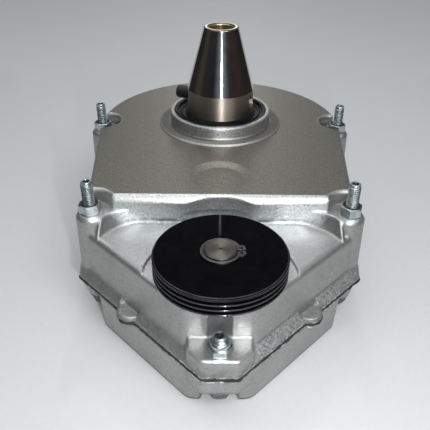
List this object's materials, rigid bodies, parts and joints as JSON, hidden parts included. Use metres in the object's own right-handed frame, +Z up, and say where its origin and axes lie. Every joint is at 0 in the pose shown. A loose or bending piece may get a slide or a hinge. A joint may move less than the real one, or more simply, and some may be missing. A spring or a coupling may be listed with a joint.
{
  "type": "gear reducer",
  "caption": "Spur gear reducer for a mixer: split cast housing, black ribbed belt pulley at the front and a polished taper shaft with a cross pin rising from the machined top face.",
  "frame": {"origin": "where the output shaft's axis crosses the machined top face of the upper housing", "axes": "+Z up along the output shaft, +Y towards the round back, -Y towards the pulley, +X right"},
  "size_m": [0.227, 0.3341, 0.1679],
  "materials": {
    "cast_alloy": "as cast, satin",
    "gasket": "matt fibre",
    "zinc_steel": "zinc plated, bluish",
    "polished_steel": "ground and polished",
    "machined_steel": "machined",
    "spring_steel": "dark, satin",
    "black_steel": "black, satin",
    "seal_rubber": "matt black"
  },
  "bodies": {
    "housing": {"upper_housing": "cast_alloy", "lower_housing": "cast_alloy", "housing_gasket": "gasket", "corner_bolts": "zinc_steel", "corner_nuts": "zinc_steel", "nose_bolt": "zinc_steel", "nose_lock_nut": "zinc_steel", "dowel_sleeves": "machined_steel", "output_seal": "seal_rubber", "input_seal": "seal_rubber", "output_top_bearing_outer": "machined_steel", "output_foot_bearing_outer": "machined_steel", "intermediate_top_bearing_outer": "machined_steel", "intermediate_foot_bearing_outer": "machined_steel", "input_top_bearing_outer": "machined_steel", "input_foot_bearing_outer": "machined_steel"},
    "output": {"output_shaft": "polished_steel", "drive_pin": "black_steel", "output_gear": "machined_steel", "output_gear_key": "machined_steel", "output_gear_clip": "spring_steel", "output_top_bearing_inner": "machined_steel", "output_foot_bearing_inner": "machined_steel"},
    "intermediate": {"intermediate_shaft": "machined_steel", "intermediate_gear": "machined_steel", "intermediate_gear_key": "machined_steel", "intermediate_gear_clip": "spring_steel", "intermediate_top_bearing_inner": "machined_steel", "intermediate_foot_bearing_inner": "machined_steel"},
    "input": {"input_shaft": "machined_steel", "pulley": "black_steel", "pulley_key": "machined_steel", "pulley_clip": "spring_steel", "input_top_bearing_inner": "machined_steel", "input_foot_bearing_inner": "machined_steel"}
  },
  "joints": [
    {"name": "output_spin", "type": "hinge", "parent": "housing", "child": "output", "pos_m": [0, 0, 0], "axis": [0, 0, 1], "continuous": true},
    {"name": "intermediate_spin", "type": "hinge", "parent": "housing", "child": "intermediate", "pos_m": [0, -0.097, 0], "axis": [0, 0, 1], "continuous": true},
    {"name": "input_spin", "type": "hinge", "parent": "housing", "child": "input", "pos_m": [0, -0.1825, 0], "axis": [0, 0, 1], "continuous": true}
  ],
  "couplings": [
    {"joint": "intermediate_spin", "follows": "output_spin", "ratio": -4.7059},
    {"joint": "input_spin", "follows": "output_spin", "ratio": 22.118}
  ]
}
